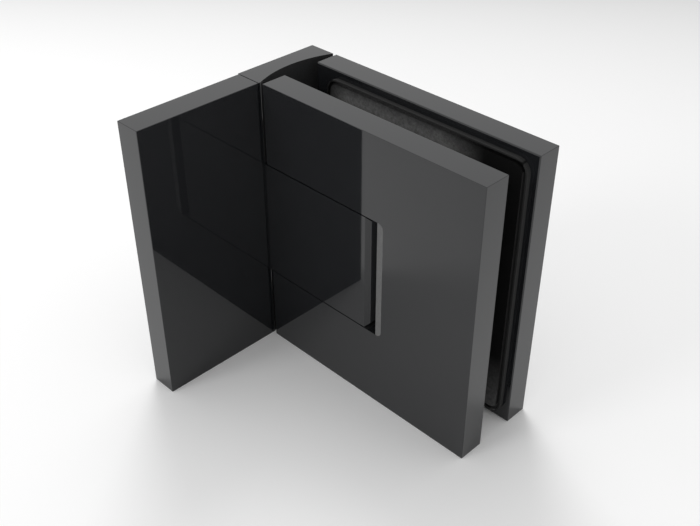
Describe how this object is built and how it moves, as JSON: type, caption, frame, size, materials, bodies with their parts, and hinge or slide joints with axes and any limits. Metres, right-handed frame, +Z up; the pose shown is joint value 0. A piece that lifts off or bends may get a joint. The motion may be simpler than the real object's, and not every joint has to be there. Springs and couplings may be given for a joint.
{
  "type": "glass door hinge",
  "caption": "Wall-to-glass shower door hinge with one-sided wall plate and cover, fixed knuckle, two-plate glass clamp and vertical pivot pin; gloss black.",
  "frame": {"origin": "on the wall face of the wall plate, at the height of the hinge's middle and in the middle plane of the glass clamp", "axes": "+X away from the wall along the closed door, +Y towards the side without the wall flange, +Z up along the pivot pin"},
  "size_m": [0.09, 0.0705, 0.09],
  "materials": {
    "black_gloss": "high gloss black",
    "buffer_grey": "satin grey elastomer",
    "gasket_rubber": "matt, finely grained",
    "steel": "machined",
    "spring_steel": "drawn wire",
    "black_screw": "blackened, satin",
    "bronze": "sintered",
    "nylon": "natural"
  },
  "bodies": {
    "wall_side": {"wall_base": "black_gloss", "cover_plate": "black_gloss", "knuckle_block": "black_gloss", "knuckle_screw_upper": "steel", "knuckle_screw_lower": "steel", "pin_bush_upper": "bronze", "pin_bush_lower": "bronze", "spring_plug": "steel", "detent_spring": "spring_steel"},
    "detent": {"detent_plunger": "steel"},
    "clamp": {"front_plate": "black_gloss", "rear_plate": "black_gloss", "front_buffer": "buffer_grey", "rear_buffer": "buffer_grey", "front_gasket": "gasket_rubber", "rear_gasket": "gasket_rubber", "pivot_pin": "steel", "thrust_washer_upper": "nylon", "thrust_washer_lower": "nylon", "pin_set_screw_upper": "steel", "pin_set_screw_lower": "steel", "clamp_screw_near_upper": "black_screw", "screw_sleeve_near_upper": "nylon", "clamp_screw_near_lower": "black_screw", "screw_sleeve_near_lower": "nylon", "clamp_screw_far_upper": "black_screw", "screw_sleeve_far_upper": "nylon", "clamp_screw_far_lower": "black_screw", "screw_sleeve_far_lower": "nylon"}
  },
  "joints": [
    {"name": "door_swing", "type": "hinge", "parent": "wall_side", "child": "clamp", "pos_m": [0.04, 0, 0], "axis": [0, 0, 1], "range_deg": [-90, 90]},
    {"name": "detent_travel", "type": "slide", "parent": "wall_side", "child": "detent", "axis": [-1, 0, 0], "range_m": [0, 0.001], "stiffness_N_per_m": 20000, "deforming": ["detent_spring"]}
  ]
}
